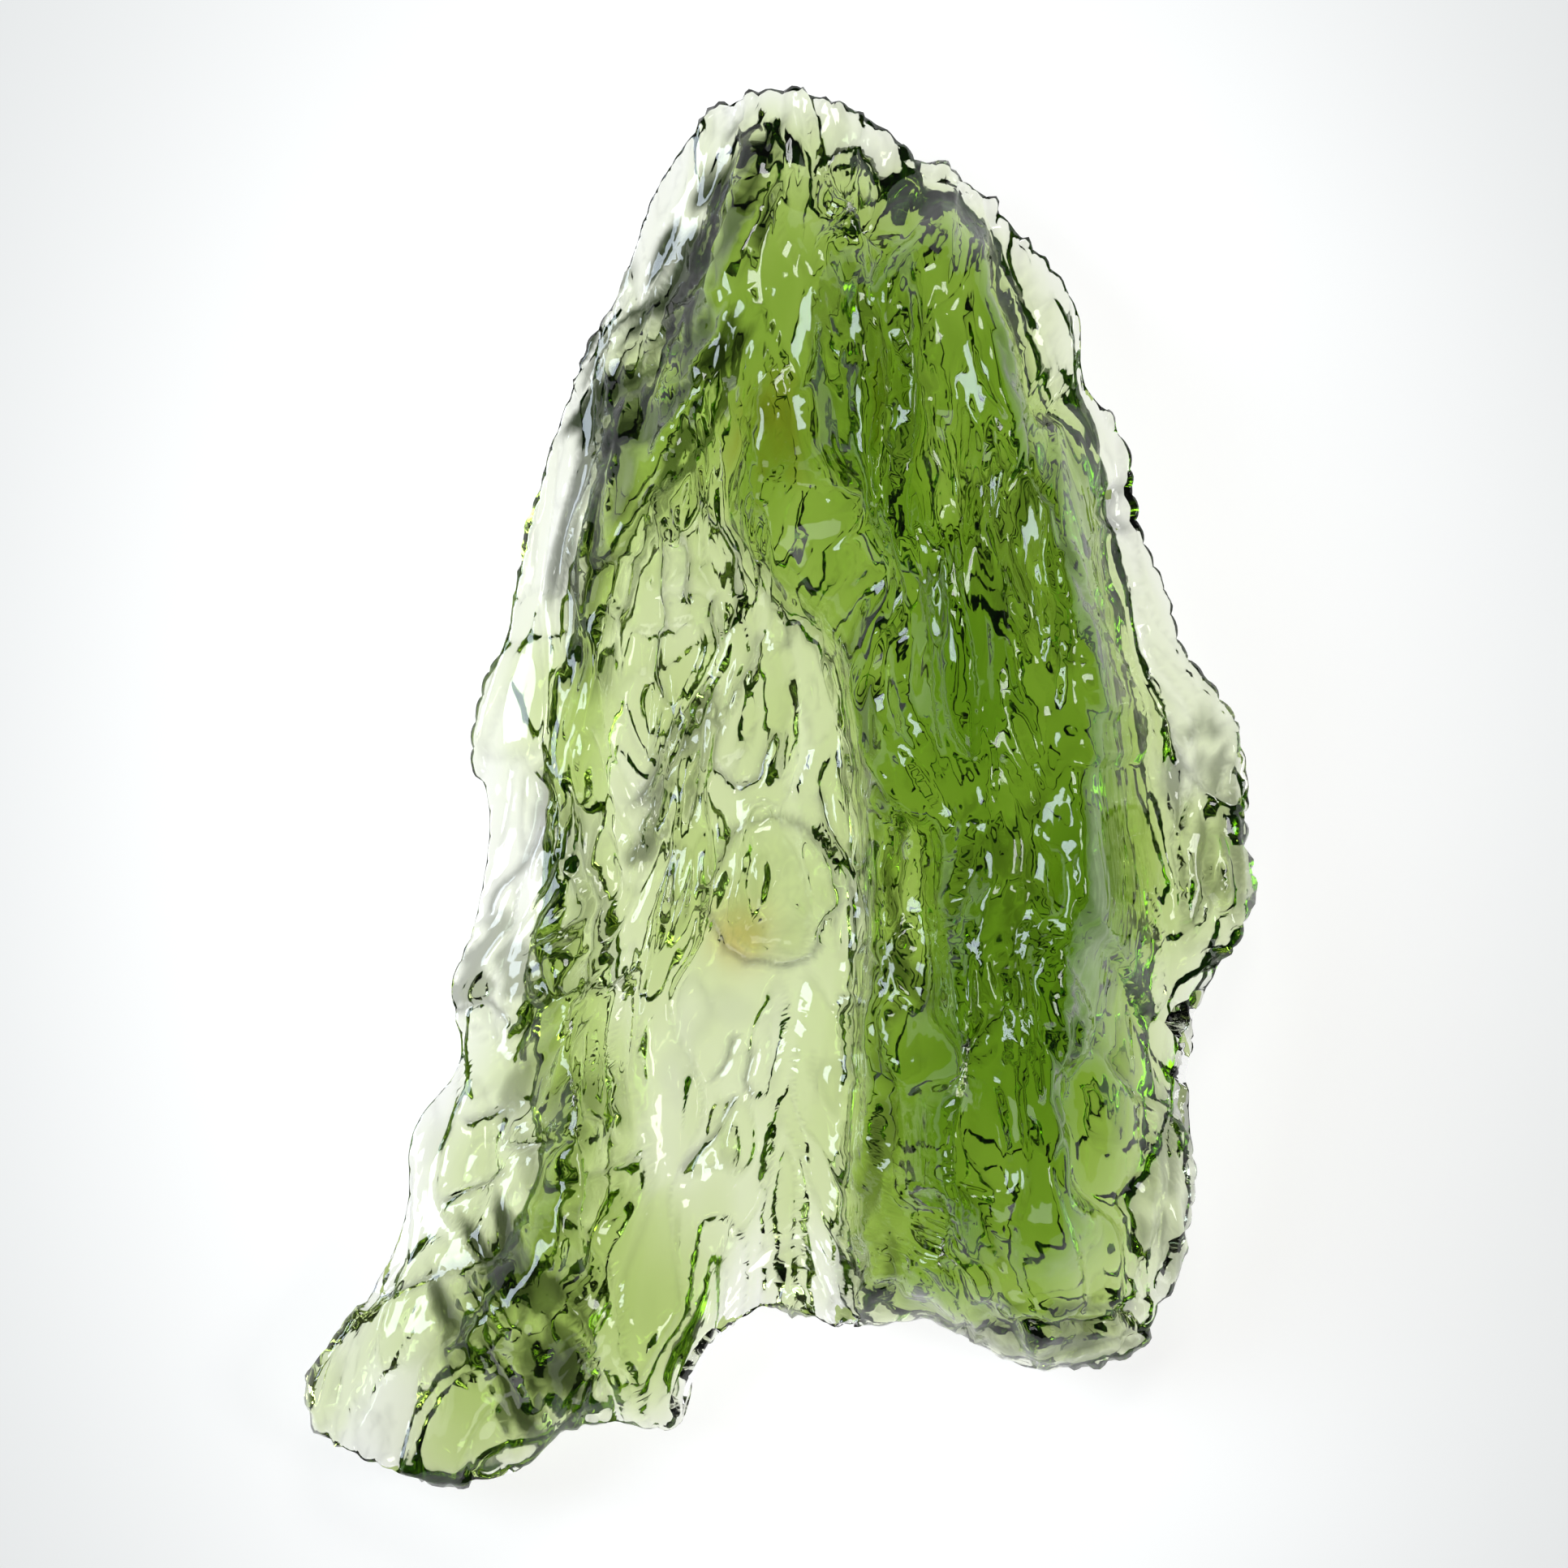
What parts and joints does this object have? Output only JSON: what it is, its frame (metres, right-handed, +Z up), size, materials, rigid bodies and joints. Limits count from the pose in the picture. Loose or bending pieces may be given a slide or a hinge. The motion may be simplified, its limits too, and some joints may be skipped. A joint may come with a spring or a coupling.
{
  "type": "moldavite",
  "caption": "Flat, forked shard of clear green natural glass with a thick ridge, thin pale flanges and long etched flow grooves, lying on its back.",
  "frame": {"origin": "under the middle of the stone's box, on the surface that the stone lies on", "axes": "+Y from the two feet to the crown, +X to the thick right side, +Z up out of the sculpted face"},
  "size_m": [0.0202, 0.03, 0.0071],
  "materials": {
    "green_glass": "etched, wet-looking gloss"
  },
  "bodies": {
    "root": {"moldavite": "green_glass"}
  },
  "joints": []
}
